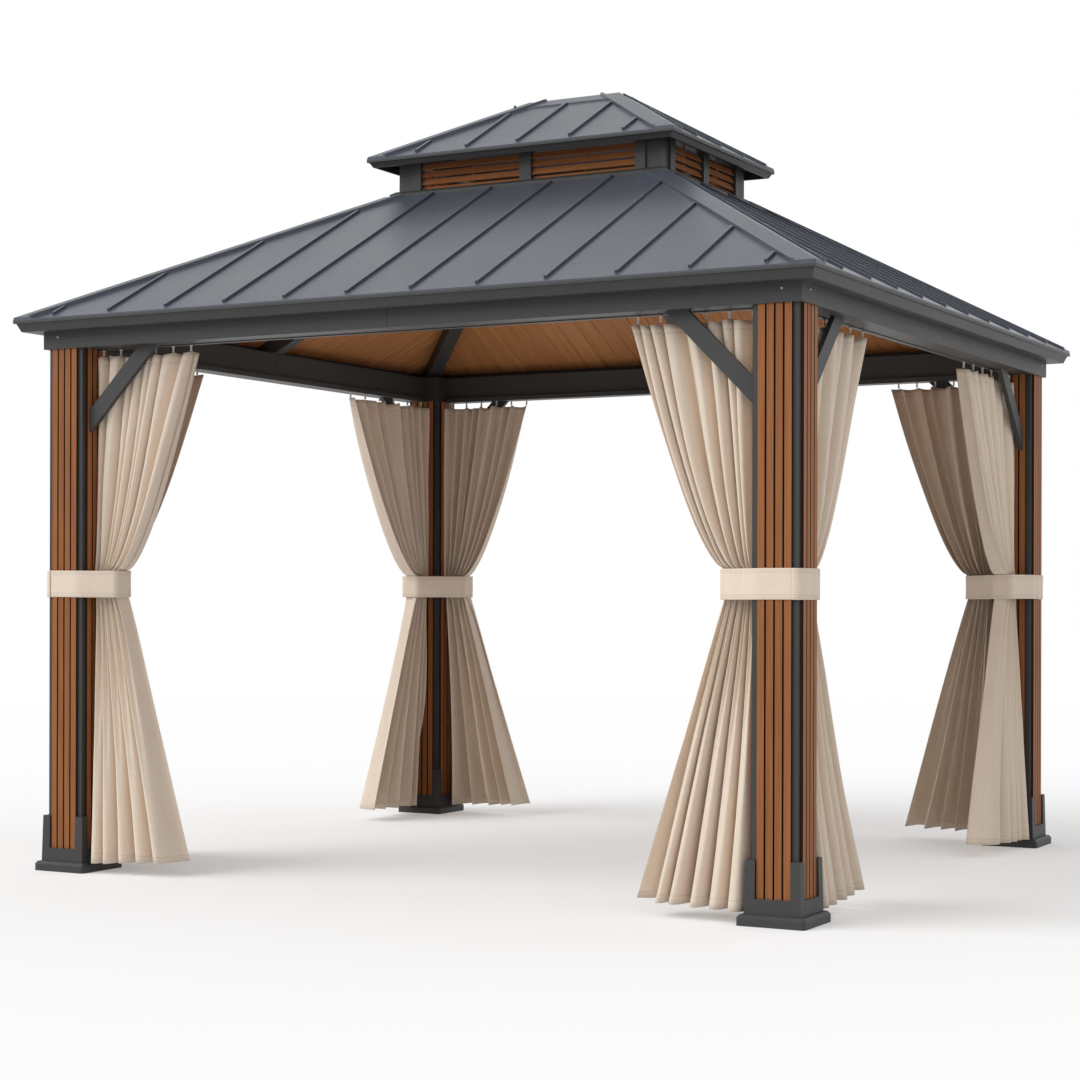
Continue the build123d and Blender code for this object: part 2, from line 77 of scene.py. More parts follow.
# Curtain rail: its depth and half its width, and the hooks of one curtain
RAIL_DEPTH, RAIL_HALF = 0.020, 0.011
HOOKS, HOOK_INSET = 6, 0.021
ROOF_NODES = ("roof_slope", "hip_caps", "cupola_roof", "cupola_caps")
FRAME_NODES = (
    "post_frame", "post_base", "ring_beam", "curtain_rails", "knee_braces", "eave_gutter",
    "rafters", "cupola_curb", "cupola_frame", "cupola_gutter",
)
UP = Vector((0, 0, 1))
CLOTH_UV = "cloth_metres"
BOARD_UV = "board_metres"
BOARD_TONE = "board_tone"


def across(side, vector):
    """The size met when walking outward on this side."""
    return abs(SIDES[side].x) * vector.x + abs(SIDES[side].y) * vector.y


def along(side, vector):
    """The size that runs along the wall on this side."""
    return abs(SIDES[side].y) * vector.x + abs(SIDES[side].x) * vector.y


def lengthwise(side):
    """The direction along the wall on this side."""
    return Vector((-SIDES[side].y, SIDES[side].x, 0))


def curtain_places():
    """Each wall with each of the two walls that meet it, one pair for every curtain."""
    for wall in SIDES:
        for other in SIDES:
            if not SIDES[wall].dot(SIDES[other]):
                yield wall, other


def post_centre(corner):
    low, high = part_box("post_slats_" + corner)
    centre = (low + high) / 2
    return Vector((centre.x, centre.y, 0))


def slat_reach(corner):
    low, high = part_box("post_slats_" + corner)
    return (high.x - low.x) / 2


# Settings that a user would change

COLOUR = {"subtype": "COLOR", "size": 3, "min": 0, "max": 1}


class MetalSettings(PropertyGroup):
    frame_colour: FloatVectorProperty(
        name="Frame coat",
        description="Colour of the powder coat on posts, beams and gutters",
        default=(0.044, 0.044, 0.044), **COLOUR,
    )
    roof_colour: FloatVectorProperty(
        name="Roof coat",
        description="Colour of the powder coat on the roof sheets",
        default=(0.066, 0.076, 0.097), **COLOUR,
    )
    orange_peel: FloatProperty(
        name="Orange peel", description="Height of the fine ripple in the coat",
        default=0.0002, min=0, max=0.002, unit="LENGTH",
    )


class TimberSettings(PropertyGroup):
    slat_pale: FloatVectorProperty(
        name="Slat pale", description="Pale grain of the post slats and louvres",
        default=(0.37, 0.145, 0.052), **COLOUR,
    )
    slat_deep: FloatVectorProperty(
        name="Slat deep", description="Deep grain of the post slats and louvres",
        default=(0.20, 0.070, 0.024), **COLOUR,
    )
    board_pale: FloatVectorProperty(
        name="Board pale", description="Pale grain of the ceiling boards",
        default=(0.56, 0.25, 0.095), **COLOUR,
    )
    board_deep: FloatVectorProperty(
        name="Board deep", description="Deep grain of the ceiling boards",
        default=(0.33, 0.12, 0.036), **COLOUR,
    )
    board_pitch: FloatProperty(
        name="Board pitch", description="Width that one ceiling board covers",
        default=0.095, min=0.04, max=0.3, unit="LENGTH",
    )
    board_thickness: FloatProperty(
        name="Board thickness", description="Upright thickness of the ceiling boards",
        default=0.0135, min=0.005, max=0.04, unit="LENGTH",
    )
    groove: FloatProperty(
        name="Groove", description="Size of the bevel along each board edge",
        default=0.004, min=0, max=0.01, unit="LENGTH",
    )


class ClothSettings(PropertyGroup):
    pale: FloatVectorProperty(
        name="Cloth pale", description="Pale thread of the curtains and bands",
        default=(0.85, 0.725, 0.60), **COLOUR,
    )
    deep: FloatVectorProperty(
        name="Cloth deep", description="Deep thread of the curtains and bands",
        default=(0.76, 0.62, 0.49), **COLOUR,
    )
    folds: IntProperty(
        name="Folds", description="Number of folds across the top of one curtain",
        default=8, min=3, max=20,
    )
    lobes: IntProperty(
        name="Lobes", description="Number of broad folds across the hem of one curtain",
        default=5, min=2, max=20,
    )
    front_flat: FloatProperty(
        name="Front flat width", description="Width of a front or back curtain before it is gathered",
        default=1.45, min=0.5, max=3, unit="LENGTH",
    )
    side_flat: FloatProperty(
        name="Side flat width", description="Width of a left or right curtain before it is gathered",
        default=1.3, min=0.5, max=3, unit="LENGTH",
    )
    thickness: FloatProperty(
        name="Cloth thickness", description="Thickness of the curtain cloth",
        default=0.0014, min=0.0005, max=0.01, unit="LENGTH",
    )
    hem_start: FloatProperty(
        name="Hem start", description="Distance that the hem stands off from the line above it",
        default=0.011, min=0, max=0.2, unit="LENGTH",
    )
    front_hem: FloatProperty(
        name="Front hem width", description="Width of a tied front or back curtain at its hem",
        default=0.416, min=0.1, max=1, unit="LENGTH",
    )
    side_hem: FloatProperty(
        name="Side hem width", description="Width of a tied left or right curtain at its hem",
        default=0.495, min=0.1, max=1, unit="LENGTH",
    )
    band_thickness: FloatProperty(
        name="Band thickness", description="Thickness of the tie band",
        default=0.0026, min=0.001, max=0.01, unit="LENGTH",
    )


class StageSettings(PropertyGroup):
    surround: FloatProperty(
        name="Surround", description="Level of the light that comes from all round",
        default=0.62, min=0, max=2,
    )
    key: FloatProperty(
        name="Key light", description="Level of the soft lamp at the front left",
        default=1.6, min=0, max=10,
    )
    fill: FloatProperty(
        name="Fill light", description="Level of the soft lamp at the right",
        default=0.04, min=0, max=10,
    )
    lens: FloatProperty(
        name="Lens", description="Focal length of the camera in millimetres",
        default=74.12, min=20, max=200,
    )
    shift: FloatProperty(
        name="Lens shift", description="Upward shift of the lens", default=0.0501, min=-1, max=1
    )
    place: FloatVectorProperty(
        name="Camera place", description="Where the camera stands",
        subtype="TRANSLATION", unit="LENGTH", size=3, default=(4.3264, -8.2914, 1.10),
    )
    heading: FloatProperty(
        name="Camera heading", description="Turn of the camera about the upright axis",
        default=math.radians(28.383), unit="ROTATION",
    )
    roll: FloatProperty(
        name="Camera roll", description="Turn of the camera about its own axis",
        default=math.radians(0.1426), unit="ROTATION",
    )


# Node helpers


def put(tree, kind, inputs=None, **settings):
    """Adds a node, sets its fields, and fills or links its inputs."""
    made = tree.nodes.new("ShaderNode" + kind)
    for name, value in settings.items():
        setattr(made, name, value)
    for name, value in (inputs or {}).items():
        if isinstance(value, bpy.types.NodeSocket):
            tree.links.new(value, made.inputs[name])
        else:
            made.inputs[name].default_value = value
    return made


def start_group(name, inputs, outputs):
    """Makes a node group with named sockets, and gives its tree, what comes in and what goes out."""
    tree = bpy.data.node_groups.new(name, "ShaderNodeTree")
    for in_out, sockets in (("INPUT", inputs), ("OUTPUT", outputs)):
        for title, kind in sockets.items():
            tree.interface.new_socket(title, in_out=in_out, socket_type="NodeSocket" + kind)
    return tree, tree.nodes.new("NodeGroupInput").outputs, tree.nodes.new("NodeGroupOutput").inputs


def give_out(tree, result, **values):
    """Links values to the group's outputs of the same names."""
    for title, value in values.items():
        tree.links.new(value, result[title])
    return tree


def math_node(tree, operation, first, second=0.0, clamp=False):
    made = put(tree, "Math", {0: first, 1: second}, operation=operation)
    made.use_clamp = clamp
    return made.outputs[0]


def plus(tree, first, second, clamp=False):
    return math_node(tree, "ADD", first, second, clamp)


def minus(tree, first, second):
    return math_node(tree, "SUBTRACT", first, second)


def times(tree, first, second):
    return math_node(tree, "MULTIPLY", first, second)


def rays_of(tree, *kinds):
    """1 for rays of these kinds, and 0 for all others."""
    paths = put(tree, "LightPath").outputs
    seen = paths[kinds[0]]
    for kind in kinds[1:]:
        seen = math_node(tree, "MAXIMUM", seen, paths[kind])
    return seen


def split_place(tree, vector):
    return put(tree, "SeparateXYZ", {0: vector}).outputs


def object_place(tree):
    return put(tree, "TexCoord").outputs["Object"]


def stretched(tree, vector, scale):
    made = put(tree, "VectorMath", {0: vector, 1: scale}, operation="MULTIPLY")
    return made.outputs[0]


def blended(tree, factor, first, second):
    made = put(tree, "Mix", {"Factor": factor}, data_type="RGBA")
    for socket, value in ((made.inputs[6], first), (made.inputs[7], second)):
        if isinstance(value, bpy.types.NodeSocket):
            tree.links.new(value, socket)
        else:
            socket.default_value = value
    return made.outputs[2]


def noisy(tree, vector, scale, detail=4.0, roughness=0.55):
    made = put(
        tree, "TexNoise",
        {"Vector": vector, "Scale": scale, "Detail": detail, "Roughness": roughness},
    )
    return made.outputs["Fac"]


def ranged(tree, value, low, high, new_low=0.0, new_high=1.0):
    made = put(
        tree, "MapRange",
        {"Value": value, "From Min": low, "From Max": high, "To Min": new_low, "To Max": new_high},
    )
    return made.outputs["Result"]


# Shared effects


SURFACE = {"Color": "Color", "Roughness": "Float", "Height": "Float"}


def coat_group():
    """Powder coat: soft clouds and fine specks in the colour and the gloss, and a fine ripple."""
    tree, given, result = start_group(
        "powder_coat", {"Place": "Vector", "Coat": "Color", "Worn": "Color", "Gloss": "Float"}, SURFACE
    )
    clouds = noisy(tree, given["Place"], 2.2, 3.0)
    specks = noisy(tree, given["Place"], 46.0, 5.0, 0.7)
    ripple = noisy(tree, given["Place"], 420.0, 2.0)
    wear = times(tree, ranged(tree, clouds, 0.35, 0.72), 0.55)
    wear = plus(tree, wear, ranged(tree, specks, 0.52, 0.8, 0.0, 0.35), clamp=True)
    colour = blended(tree, wear, given["Coat"], given["Worn"])
    rough = plus(tree, given["Gloss"], ranged(tree, specks, 0.3, 0.75, -0.035, 0.05))
    rough = plus(tree, rough, ranged(tree, clouds, 0.3, 0.7, -0.03, 0.03))
    return give_out(tree, result, Color=colour, Roughness=rough, Height=ripple)


def edge_wear_and_highlight_group():
    """Edge rub and painted edge highlight: a mask that rises where two faces meet."""
    tree, given, result = start_group("edge_wear_and_highlight", {"Reach": "Float", "Place": "Vector"}, {"Mask": "Float"})
    bevel = put(tree, "Bevel", {"Radius": given["Reach"]}, samples=4)
    normal = put(tree, "NewGeometry").outputs["True Normal"]
    facing = put(tree, "VectorMath", {0: bevel.outputs[0], 1: normal}, operation="DOT_PRODUCT")
    edge = ranged(tree, facing.outputs["Value"], 1.0, 0.86)
    patchy = ranged(tree, noisy(tree, given["Place"], 24.0, 4.0), 0.35, 0.65, 0.35, 1.0)
    return give_out(tree, result, Mask=times(tree, edge, patchy))


def grain_group():
    """Wood grain that runs along the third axis of the place that it is given, in metres."""
    tree, given, result = start_group(
        "timber_grain", {"Place": "Vector", "Pale": "Color", "Deep": "Color", "Tone": "Float"}, SURFACE
    )
    place = given["Place"]
    broad = noisy(tree, stretched(tree, place, (26.0, 26.0, 1.1)), 1.0, 3.0)
    streak = noisy(tree, stretched(tree, place, (170.0, 170.0, 3.2)), 1.0, 6.0, 0.62)
    pores = noisy(tree, stretched(tree, place, (620.0, 620.0, 14.0)), 1.0, 3.0, 0.6)
    deep = times(tree, ranged(tree, streak, 0.36, 0.66), 0.52)
    deep = plus(tree, deep, ranged(tree, broad, 0.3, 0.7, 0.0, 0.3))
    deep = plus(tree, deep, ranged(tree, pores, 0.56, 0.74, 0.0, 0.3))
    deep = plus(tree, deep, given["Tone"], clamp=True)
    colour = blended(tree, deep, given["Pale"], given["Deep"])
    rough = ranged(tree, deep, 0.0, 1.0, 0.46, 0.62)
    height = plus(tree, times(tree, streak, 0.6), times(tree, pores, 0.4))
    return give_out(tree, result, Color=colour, Roughness=rough, Height=height)


def weave_group():
    """Plain weave with slubs, from a flat place on the cloth in metres."""
    tree, given, result = start_group(
        "plain_weave", {"Place": "Vector", "Pale": "Color", "Deep": "Color", "Thread": "Float"}, SURFACE
    )
    place = given["Place"]
    parts = split_place(tree, place)
    turns = math_node(tree, "DIVIDE", math.pi, given["Thread"])
    warp = math_node(tree, "SINE", times(tree, parts["X"], turns))
    weft = math_node(tree, "SINE", times(tree, parts["Y"], turns))
    over = times(tree, warp, weft)
    slub_up = noisy(tree, stretched(tree, place, (190.0, 7.0, 1.0)), 1.0, 4.0, 0.6)
    slub_across = noisy(tree, stretched(tree, place, (8.0, 150.0, 1.0)), 1.0, 4.0, 0.6)
    cloud = noisy(tree, place, 5.0, 3.0)
    mix = ranged(tree, slub_up, 0.4, 0.7, 0.0, 0.4)
    mix = plus(tree, mix, ranged(tree, slub_across, 0.45, 0.72, 0.0, 0.28))
    mix = plus(tree, mix, ranged(tree, cloud, 0.35, 0.7, 0.0, 0.22))
    mix = plus(tree, mix, ranged(tree, over, -1.0, 1.0, 0.1, -0.06), clamp=True)
    colour = blended(tree, mix, given["Pale"], given["Deep"])
    rough = ranged(tree, mix, 0.0, 1.0, 0.82, 0.95)
    height = plus(tree, times(tree, over, 0.5), times(tree, slub_up, 0.6))
    height = plus(tree, height, times(tree, slub_across, 0.5))
    return give_out(tree, result, Color=colour, Roughness=rough, Height=height)


def stitch_group():
    """One row of stitches: a mask of dashes and the dimple under them, at a distance from an edge."""
    tree, given, result = start_group(
        "stitch_row", {"From edge": "Float", "Along": "Float", "Row": "Float", "Stitch": "Float"},
        {"Mask": "Float", "Dimple": "Float"},
    )
    away = math_node(tree, "ABSOLUTE", minus(tree, given["From edge"], given["Row"]))
    line = ranged(tree, away, 0.0018, 0.0008)
    dimple = ranged(tree, away, 0.005, 0.0)
    beat = math_node(tree, "FRACT", math_node(tree, "DIVIDE", given["Along"], given["Stitch"]))
    dash = ranged(tree, math_node(tree, "ABSOLUTE", minus(tree, beat, 0.5)), 0.38, 0.3)
    return give_out(tree, result, Mask=times(tree, line, dash), Dimple=dimple)


def slat_cell_and_shade_group():
    """Which post slat a place belongs to, and a mask that rises on the slat's two narrow sides, for painted
    shade there.
    """
    tree, given, result = start_group(
        "slat_cells_and_painted_shade",
        {"Place": "Vector", "Post": "Vector", "Face": "Float", "Pitch": "Float", "Half width": "Float"},
        {"Number": "Float", "Side": "Float"},
    )
    # Keeps the numbers of the slats on the front and back faces apart from those on the others
    face_shift = 7.3
    place = put(tree, "VectorMath", {0: given["Place"]}, operation="ABSOLUTE").outputs[0]
    apart = put(tree, "VectorMath", {0: place, 1: given["Post"]}, operation="SUBTRACT").outputs[0]
    parts = split_place(tree, apart)
    on_y = math_node(tree, "GREATER_THAN", math_node(tree, "ABSOLUTE", parts["Y"]), given["Face"])
    run = plus(tree, times(tree, parts["X"], on_y), times(tree, parts["Y"], minus(tree, 1.0, on_y)))
    number = math_node(tree, "FLOOR", math_node(tree, "DIVIDE", run, given["Pitch"]))
    middle = times(tree, plus(tree, number, 0.5), given["Pitch"])
    edge = minus(tree, math_node(tree, "ABSOLUTE", minus(tree, run, middle)), given["Half width"])
    # Mask of the painted shade on the slat's narrow sides
    side = ranged(tree, edge, -0.0006, -0.0001)
    return give_out(tree, result, Number=plus(tree, number, times(tree, on_y, face_shift)), Side=side)


def use_group(tree, name, build, inputs):
    """Places the node group of that name, which is built on first use, and gives its outputs."""
    group = bpy.data.node_groups.get(name) or build()
    return put(tree, "Group", inputs, node_tree=group).outputs


def shade(colour, factor=1.0):
    return (colour[0] * factor, colour[1] * factor, colour[2] * factor, 1.0)


def start_material(name, **constants):
    """A material with only a Principled shader, its constant sockets set."""
    material = bpy.data.materials.new(name)
    material.use_nodes = True
    shader = material.node_tree.nodes["Principled BSDF"]
    for title, value in constants.items():
        shader.inputs[title.replace("_", " ")].default_value = value
    return material, material.node_tree, shader


def finish_surface(tree, shader, colour, rough, height, distance):
    """Links a colour, a roughness and a bump to the shader."""
    bump = put(tree, "Bump", {"Height": height, "Distance": distance, "Strength": 1.0})
    tree.links.new(colour, shader.inputs["Base Color"])
    tree.links.new(rough, shader.inputs["Roughness"])
    tree.links.new(bump.outputs["Normal"], shader.inputs["Normal"])


# Materials


def coated_metal(name, colour, gloss, worn_lift, peel):
    """Powder-coated metal that is rubbed paler along its edges; the paler edges are also a painted
    highlight.
    """
    material, tree, shader = start_material(name, IOR=1.5, Specular_IOR_Level=0.32)
    place = object_place(tree)
    coat = use_group(
        tree, "powder_coat", coat_group,
        {"Place": place, "Coat": shade(colour), "Worn": shade(colour, worn_lift), "Gloss": gloss},
    )
    rub_and_highlight = use_group(tree, "edge_wear_and_highlight", edge_wear_and_highlight_group, {"Reach": 0.0025, "Place": place})
    # Paints the edges paler: partly wear of the coat, partly a painted highlight
    rubbed_and_highlit = blended(tree, rub_and_highlight["Mask"], coat["Color"], shade(colour, 1.9))
    finish_surface(tree, shader, rubbed_and_highlit, coat["Roughness"], coat["Height"], peel)
    return material


def grained(tree, place, pale, deep, tone):
    return use_group(
        tree, "timber_grain", grain_group,
        {"Place": place, "Pale": shade(pale), "Deep": shade(deep), "Tone": tone},
    )


def slat_timber(settings):
    """Wood-look coat on the post slats: upright grain, a tone for each slat, and painted shade darkening the
    narrow sides.
    """
    material, tree, shader = start_material("slat_timber", IOR=1.45, Specular_IOR_Level=0.2)
    place = object_place(tree)
    face_slack = 0.0002
    cells = use_group(
        tree, "slat_cells_and_painted_shade", slat_cell_and_shade_group,
        {
            "Place": place, "Post": post_centre("back_right"), "Pitch": SLAT_PITCH, "Half width": SLAT_HALF,
            "Face": slat_reach("back_right") - SLAT_DEPTH - face_slack,
        },
    )
    number = cells["Number"]
    chance = put(tree, "TexWhiteNoise", {"W": number}, noise_dimensions="1D").outputs["Value"]
    shift = put(tree, "CombineXYZ", {0: number, 1: number}).outputs[0]
    shifted = put(tree, "VectorMath", {0: place, 1: shift}, operation="ADD").outputs[0]
    tone = ranged(tree, chance, 0.0, 1.0, -0.12, 0.12)
    grain = grained(tree, shifted, settings.slat_pale, settings.slat_deep, tone)
    # Painted shade: the slats' narrow sides are darkened to about a fifth of the deep grain colour
    colour = blended(tree, cells["Side"], grain["Color"], shade(settings.slat_deep, 0.22))
    finish_surface(tree, shader, colour, grain["Roughness"], grain["Height"], 0.0005)
    return material


def louvre_timber(name, settings, order):
    """Wood-look coat on the louvres, with grain along the boards."""
    material, tree, shader = start_material(name, IOR=1.45, Specular_IOR_Level=0.35)
    parts = split_place(tree, object_place(tree))
    turned = put(tree, "CombineXYZ", {i: parts[axis] for i, axis in enumerate(order)}).outputs[0]
    grain = grained(tree, turned, settings.slat_pale, settings.slat_deep, 0.0)
    finish_surface(tree, shader, grain["Color"], grain["Roughness"], grain["Height"], 0.0005)
    return material


def board_timber(settings):
    """Ceiling boards: grain along each board, from the board's own flat place and tone."""
    material, tree, shader = start_material("ceiling_timber", IOR=1.45, Specular_IOR_Level=0.35)
    parts = split_place(tree, put(tree, "UVMap", uv_map=BOARD_UV).outputs["UV"])
    tone = put(tree, "Attribute", attribute_name=BOARD_TONE).outputs["Fac"]
    board_shift = times(tree, tone, 7.0)
    place = put(tree, "CombineXYZ", {0: parts["X"], 1: board_shift, 2: parts["Y"]}).outputs[0]
    shift = ranged(tree, tone, 0.0, 1.0, -0.22, 0.22)
    grain = grained(tree, place, settings.board_pale, settings.board_deep, shift)
    finish_surface(tree, shader, grain["Color"], grain["Roughness"], grain["Height"], 0.0008)
    return material


def cloth_material(name, settings, length, rows):
    """Canvas with stitched edges; rows are the distances of the stitches from the top and bottom edges."""
    material, tree, shader = start_material(
        name, Sheen_Weight=0.25, Sheen_Roughness=0.6, Specular_IOR_Level=0.15
    )
    thread, stitch_length, weave_share = 0.0016, 0.007, 0.25
    flat = put(tree, "UVMap", uv_map=CLOTH_UV).outputs["UV"]
    parts = split_place(tree, flat)
    weave = use_group(
        tree, "plain_weave", weave_group,
        {"Place": flat, "Pale": shade(settings.pale), "Deep": shade(settings.deep), "Thread": thread},
    )
    colour, height = weave["Color"], times(tree, weave["Height"], weave_share)
    for from_edge in (parts["Y"], minus(tree, length, parts["Y"])):
        for row in rows:
            stitch = use_group(
                tree, "stitch_row", stitch_group,
                {"From edge": from_edge, "Along": parts["X"], "Row": row, "Stitch": stitch_length},
            )
            colour = blended(tree, stitch["Mask"], colour, shade(settings.deep, 0.85))
            height = minus(tree, height, stitch["Dimple"])
    finish_surface(tree, shader, colour, weave["Roughness"], height, 0.0009)
    return material


def moulded_plastic(name, colour):
    material, tree, shader = start_material(name, IOR=1.46, Specular_IOR_Level=0.5)
    spots = noisy(tree, object_place(tree), 300.0, 3.0)
    mottled = blended(tree, spots, shade(colour), shade(colour, 1.35))
    finish_surface(tree, shader, mottled, ranged(tree, spots, 0.3, 0.7, 0.38, 0.52), spots, 0.0002)
    return material


def bare_steel(name):
    material, tree, shader = start_material(name, Metallic=1.0)
    scratch = noisy(tree, stretched(tree, object_place(tree), (900.0, 60.0, 900.0)), 1.0, 4.0)
    streaked = blended(tree, scratch, (0.22, 0.22, 0.23, 1), (0.42, 0.42, 0.43, 1))
    finish_surface(tree, shader, streaked, ranged(tree, scratch, 0.3, 0.7, 0.28, 0.45), scratch, 0.0001)
    return material


# Mesh helpers


def dress(node_name, material):
    """Gives a CAD node a better material."""
    target = frame["nodes"][node_name]
    if not target.material_slots:
        target.data.materials.append(material)
    for slot in target.material_slots:
        slot.material = material


def place_object(name, data):
    """A new object in the scene, at the origin."""
    made = bpy.data.objects.new(name, data)
    bpy.context.scene.collection.objects.link(made)
    return made


def add_piece(name, mesh, material, smooth=False):
    """Links a mesh as a piece of the gazebo that rides on its frame."""
    mesh.materials.append(material)
    if smooth:
        mesh.shade_smooth()
    piece = place_object(name, mesh)
    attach(piece, "root")
    return piece


def mesh_from(name, build):
    """A mesh filled by a function that is given an empty bmesh."""
    work = bmesh.new()
    build(work)
    mesh = bpy.data.meshes.new(name)
    work.to_mesh(mesh)
    work.free()
    return mesh


def thickened(name, mesh, thickness):
    """The mesh with a second skin, so that cloth is a closed shell."""
    holder = place_object(name + "_work", mesh)
    skin = holder.modifiers.new("skin", "SOLIDIFY")
    skin.thickness = thickness
    skin.offset = 0.0
    skin.use_even_offset = False
    bpy.context.view_layer.update()
    shown = holder.evaluated_get(bpy.context.evaluated_depsgraph_get())
    result = bpy.data.meshes.new_from_object(shown)
    result.name = name
    bpy.data.objects.remove(holder)
    bpy.data.meshes.remove(mesh)
    return result


def sheet_mesh(name, rows, flat_rows):
    """A grid of points with its flat place kept as a UV map in metres."""

    def weave_grid(work):
        layer = work.loops.layers.uv.new(CLOTH_UV)
        grid = [[work.verts.new(point) for point in row] for row in rows]
        for j in range(len(rows) - 1):
            for i in range(len(rows[j]) - 1):
                spots = ((j, i), (j, i + 1), (j + 1, i + 1), (j + 1, i))
                face = work.faces.new([grid[b][a] for b, a in spots])
                for loop, (b, a) in zip(face.loops, spots):
                    loop[layer].uv = flat_rows[b][a]

    return mesh_from(name, weave_grid)


# Ceiling boards


def ceiling_slope(side, settings):
    """Plan sizes and heights of the boarded ceiling on one side, from the frame."""
    low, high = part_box("ceiling_boards")
    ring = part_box("cupola_frame")[1]
    wall_out, wall_run = across(side, high), along(side, high)
    ring_out, ring_run = across(side, ring), along(side, ring)
    rise = (high.z - settings.board_thickness - low.z) / (wall_out - ring_out)
    return wall_out, wall_run, ring_out, ring_run, low.z, rise


def add_board(work, layer, tone_layer, side, slope, run_low, run_high, tone, settings):
    """One board from the beam up to the cupola ring or the hip, with a bevelled underside."""
    wall_out, wall_run, ring_out, ring_run, wall_z, rise = slope
    outward, lengthways = SIDES[side], lengthwise(side)
    hip_k = (wall_out - ring_out) / (wall_run - ring_run)

    def top_out(run):
        return max(ring_out, wall_out - (wall_run - abs(run)) * hip_k)

    def corner(run, out, lift):
        z = wall_z + (wall_out - out) * rise + lift
        return outward * out + lengthways * run + UP * z

    breaks = [r for r in (-ring_run, ring_run) if run_low < r < run_high]
    inner = sorted([run_low, run_high] + breaks)
    groove = settings.groove
    # Shares of the groove: half the gap between two boards, and how far the bevel rises
    gap, bevel_rise = groove * 0.15, groove * 0.8

    def ring_of(inset, lift):
        low, high = run_low + inset, run_high - inset
        points = [corner(low, wall_out, lift), corner(high, wall_out, lift)]
        for run in reversed([min(max(r, low), high) for r in inner]):
            points.append(corner(run, min(top_out(run), wall_out), lift))
        return [work.verts.new(p) for p in points]

    under, side_low = ring_of(gap + groove, 0.0), ring_of(gap, bevel_rise)
    side_high = ring_of(gap, settings.board_thickness)
    count = len(under)
    faces = [work.faces.new(reversed(under)), work.faces.new(side_high)]
    for lower, upper in ((under, side_low), (side_low, side_high)):
        for i in range(count):
            j = (i + 1) % count
            faces.append(work.faces.new((lower[i], lower[j], upper[j], upper[i])))
    for face in faces:
        for loop in face.loops:
            place = loop.vert.co
            loop[layer].uv = (place.dot(lengthways) - run_low, place.dot(outward) * math.hypot(1, rise))
            loop.vert[tone_layer] = tone


def build_ceiling(settings):
    weld = 1e-6

    def lay_boards(work):
        layer = work.loops.layers.uv.new(BOARD_UV)
        tone_layer = work.verts.layers.float.new(BOARD_TONE)
        for index, side in enumerate(SIDES):
            slope = ceiling_slope(side, settings)
            wall_run = slope[1]
            count = 2 * math.ceil(wall_run / settings.board_pitch)
            pitch = 2 * wall_run / count
            for step in range(count):
                low = -wall_run + step * pitch
                tone = 0.5 + 0.5 * noise.noise(Vector((step * 3.7, index * 11.3, 0.5)))
                add_board(work, layer, tone_layer, side, slope, low, low + pitch, tone, settings)
        bmesh.ops.remove_doubles(work, verts=work.verts, dist=weld)
        bmesh.ops.dissolve_degenerate(work, dist=weld, edges=work.edges)
        bmesh.ops.recalc_face_normals(work, faces=work.faces)

    return mesh_from("ceiling_planks", lay_boards)


# Curtains


def held_between(value, low, high):
    """The value, eased so that it stays between two limits."""
    middle, half = (low + high) / 2, (high - low) / 2
    share = (value - middle) / half
    return middle + half * share / (1 + share**6) ** (1 / 6)


def fold_shape(phase):
    """Broad rounded folds outward, up to 0.86, with deeper and narrower valleys, down to -1.14."""
    return math.sin(phase) + 0.14 * math.cos(2 * phase)


